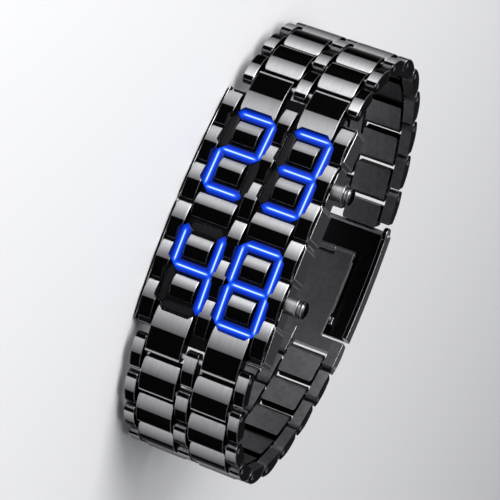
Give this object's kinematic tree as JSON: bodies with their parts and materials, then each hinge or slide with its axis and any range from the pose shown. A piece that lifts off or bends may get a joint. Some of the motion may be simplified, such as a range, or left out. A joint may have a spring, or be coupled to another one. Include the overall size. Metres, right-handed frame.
{
  "type": "led watch",
  "caption": "Bracelet watch with a curved front of metal blocks, lit segment numerals, side buttons, hinged links and a folding clasp.",
  "frame": {"origin": "centre of the watch's footprint, with the 9 o'clock side on the ground", "axes": "+X along the wrist band, 12 o'clock towards -X and 6 o'clock towards +X; -Y out of the front; +Z towards the 3 o'clock side and its buttons"},
  "size_m": [0.0902, 0.0612, 0.0315],
  "materials": {
    "black_steel": "polished black plating on steel, with lightly worn edges",
    "satin_steel": "satin black plating on steel",
    "steel_pin": "ground steel rod",
    "button_steel": "turned and polished dark steel",
    "lit_lens": "blue lens, lit from behind, with a paler core",
    "unlit_lens": "smoked translucent lens",
    "light_frame": "moulded white plastic",
    "board": "green solder mask",
    "lamp": "small moulded lamp with a clear top",
    "cell": "nickel-plated can",
    "contact": "thin sprung strip",
    "rubber": "soft black rubber",
    "spring": "fine spring wire"
  },
  "bodies": {
    "case": {"front_plate": "black_steel", "case_middle": "black_steel", "lit_segments": "lit_lens", "unlit_segments": "unlit_lens", "light_frame": "light_frame", "lamp_board": "board", "lamp_chips": "lamp", "coin_cells": "cell", "contact_springs": "contact", "back_gasket": "rubber", "back_cover": "satin_steel", "back_screws": "steel_pin", "button_tubes": "button_steel", "upper_button_spring": "spring", "lower_button_spring": "spring", "button_seals": "rubber", "end_pins": "steel_pin"},
    "upper_button": {"upper_button": "button_steel"},
    "lower_button": {"lower_button": "button_steel"},
    "upper_link_1": {"upper_link_1": "black_steel", "upper_pin_1": "steel_pin"},
    "lower_link_1": {"lower_link_1": "black_steel", "lower_pin_1": "steel_pin"},
    "upper_link_2": {"upper_link_2": "black_steel", "upper_pin_2": "steel_pin"},
    "lower_link_2": {"lower_link_2": "black_steel", "lower_pin_2": "steel_pin"},
    "upper_link_3": {"upper_link_3": "black_steel", "upper_pin_3": "steel_pin"},
    "lower_link_3": {"lower_link_3": "black_steel", "lower_pin_3": "steel_pin"},
    "upper_link_4": {"upper_link_4": "black_steel", "upper_pin_4": "steel_pin"},
    "lower_link_4": {"lower_link_4": "black_steel", "lower_pin_4": "steel_pin"},
    "upper_link_5": {"upper_link_5": "black_steel", "upper_pin_5": "steel_pin"},
    "lower_link_5": {"lower_link_5": "black_steel", "lower_pin_5": "steel_pin"},
    "upper_link_6": {"upper_link_6": "black_steel", "upper_pin_6": "steel_pin"},
    "lower_link_6": {"lower_link_6": "black_steel", "lower_pin_6": "steel_pin"},
    "upper_link_7": {"upper_link_7": "black_steel", "upper_pin_7": "steel_pin"},
    "lower_link_7": {"lower_link_7": "black_steel", "lower_pin_7": "steel_pin"},
    "upper_link_8": {"upper_link_8": "black_steel", "upper_pin_8": "steel_pin"},
    "lower_link_8": {"lower_link_8": "black_steel", "lower_pin_8": "steel_pin"},
    "upper_link_9": {"upper_link_9": "black_steel"},
    "lower_link_9": {"lower_link_9": "black_steel", "lower_pin_9": "steel_pin"},
    "clasp_inner": {"clasp_inner_blade": "satin_steel", "fold_pin": "steel_pin"},
    "clasp_outer": {"clasp_outer_blade": "satin_steel", "cover_pin": "steel_pin"},
    "clasp_cover": {"clasp_cover": "black_steel", "spring_bar": "steel_pin"}
  },
  "joints": [
    {"name": "upper_button_press", "type": "slide", "parent": "case", "child": "upper_button", "axis": [0, 0, -1], "range_m": [0, 0.00035], "stiffness_N_per_m": 800, "springref_m": -0.001, "deforming": ["upper_button_spring"]},
    {"name": "lower_button_press", "type": "slide", "parent": "case", "child": "lower_button", "axis": [0, 0, -1], "range_m": [0, 0.00035], "stiffness_N_per_m": 800, "springref_m": -0.001, "deforming": ["lower_button_spring"]},
    {"name": "upper_link_1_hinge", "type": "hinge", "parent": "case", "child": "upper_link_1", "pos_m": [-0.0277, -0.02503, 0.014], "axis": [0, 0, 1], "range_deg": [0, 17.5]},
    {"name": "lower_link_1_hinge", "type": "hinge", "parent": "case", "child": "lower_link_1", "pos_m": [0.0277, -0.02503, 0.014], "axis": [0, 0, -1], "range_deg": [0, 17.5]},
    {"name": "upper_link_2_hinge", "type": "hinge", "parent": "upper_link_1", "child": "upper_link_2", "pos_m": [-0.03474, -0.02102, 0.014], "axis": [0, 0, 1], "range_deg": [0, 21.2]},
    {"name": "lower_link_2_hinge", "type": "hinge", "parent": "lower_link_1", "child": "lower_link_2", "pos_m": [0.03474, -0.02102, 0.014], "axis": [0, 0, -1], "range_deg": [0, 21.2]},
    {"name": "upper_link_3_hinge", "type": "hinge", "parent": "upper_link_2", "child": "upper_link_3", "pos_m": [-0.04028, -0.01511, 0.014], "axis": [0, 0, 1], "range_deg": [0, 24.4]},
    {"name": "lower_link_3_hinge", "type": "hinge", "parent": "lower_link_2", "child": "lower_link_3", "pos_m": [0.04028, -0.01511, 0.014], "axis": [0, 0, -1], "range_deg": [0, 24.4]},
    {"name": "upper_link_4_hinge", "type": "hinge", "parent": "upper_link_3", "child": "upper_link_4", "pos_m": [-0.04341, -0.00764, 0.014], "axis": [0, 0, 1], "range_deg": [0, 25.8]},
    {"name": "lower_link_4_hinge", "type": "hinge", "parent": "lower_link_3", "child": "lower_link_4", "pos_m": [0.04341, -0.00764, 0.014], "axis": [0, 0, -1], "range_deg": [0, 25.8]},
    {"name": "upper_link_5_hinge", "type": "hinge", "parent": "upper_link_4", "child": "upper_link_5", "pos_m": [-0.04355, 0.00046, 0.014], "axis": [0, 0, 1], "range_deg": [0, 24.5]},
    {"name": "lower_link_5_hinge", "type": "hinge", "parent": "lower_link_4", "child": "lower_link_5", "pos_m": [0.04355, 0.00046, 0.014], "axis": [0, 0, -1], "range_deg": [0, 24.5]},
    {"name": "upper_link_6_hinge", "type": "hinge", "parent": "upper_link_5", "child": "upper_link_6", "pos_m": [-0.04084, 0.00809, 0.014], "axis": [0, 0, 1], "range_deg": [0, 21.3]},
    {"name": "lower_link_6_hinge", "type": "hinge", "parent": "lower_link_5", "child": "lower_link_6", "pos_m": [0.04084, 0.00809, 0.014], "axis": [0, 0, -1], "range_deg": [0, 21.3]},
    {"name": "upper_link_7_hinge", "type": "hinge", "parent": "upper_link_6", "child": "upper_link_7", "pos_m": [-0.03598, 0.01457, 0.014], "axis": [0, 0, 1], "range_deg": [0, 17.7]},
    {"name": "lower_link_7_hinge", "type": "hinge", "parent": "lower_link_6", "child": "lower_link_7", "pos_m": [0.03598, 0.01457, 0.014], "axis": [0, 0, -1], "range_deg": [0, 17.7]},
    {"name": "upper_link_8_hinge", "type": "hinge", "parent": "upper_link_7", "child": "upper_link_8", "pos_m": [-0.02973, 0.01972, 0.014], "axis": [0, 0, 1], "range_deg": [0, 14.7]},
    {"name": "lower_link_8_hinge", "type": "hinge", "parent": "lower_link_7", "child": "lower_link_8", "pos_m": [0.02973, 0.01972, 0.014], "axis": [0, 0, -1], "range_deg": [0, 14.7]},
    {"name": "upper_link_9_hinge", "type": "hinge", "parent": "upper_link_8", "child": "upper_link_9", "pos_m": [-0.02262, 0.02362, 0.014], "axis": [0, 0, 1], "range_deg": [0, 13]},
    {"name": "lower_link_9_hinge", "type": "hinge", "parent": "lower_link_8", "child": "lower_link_9", "pos_m": [0.02262, 0.02362, 0.014], "axis": [0, 0, -1], "range_deg": [0, 13]},
    {"name": "clasp_swing", "type": "hinge", "parent": "lower_link_9", "child": "clasp_inner", "pos_m": [0.015, 0.02635, 0.014], "axis": [0, 0, -1], "range_deg": [0, 60]},
    {"name": "clasp_unfold", "type": "hinge", "parent": "clasp_inner", "child": "clasp_outer", "pos_m": [-0.00853, 0.02695, 0.014], "axis": [0, 0, 1], "range_deg": [0, 150]},
    {"name": "clasp_cover_turn", "type": "hinge", "parent": "clasp_outer", "child": "clasp_cover", "pos_m": [0.00565, 0.02841, 0.014], "axis": [0, 0, 1], "range_deg": [-150, 0]}
  ],
  "couplings": [
    {"joint": "clasp_cover_turn", "follows": "clasp_unfold", "ratio": -1}
  ]
}
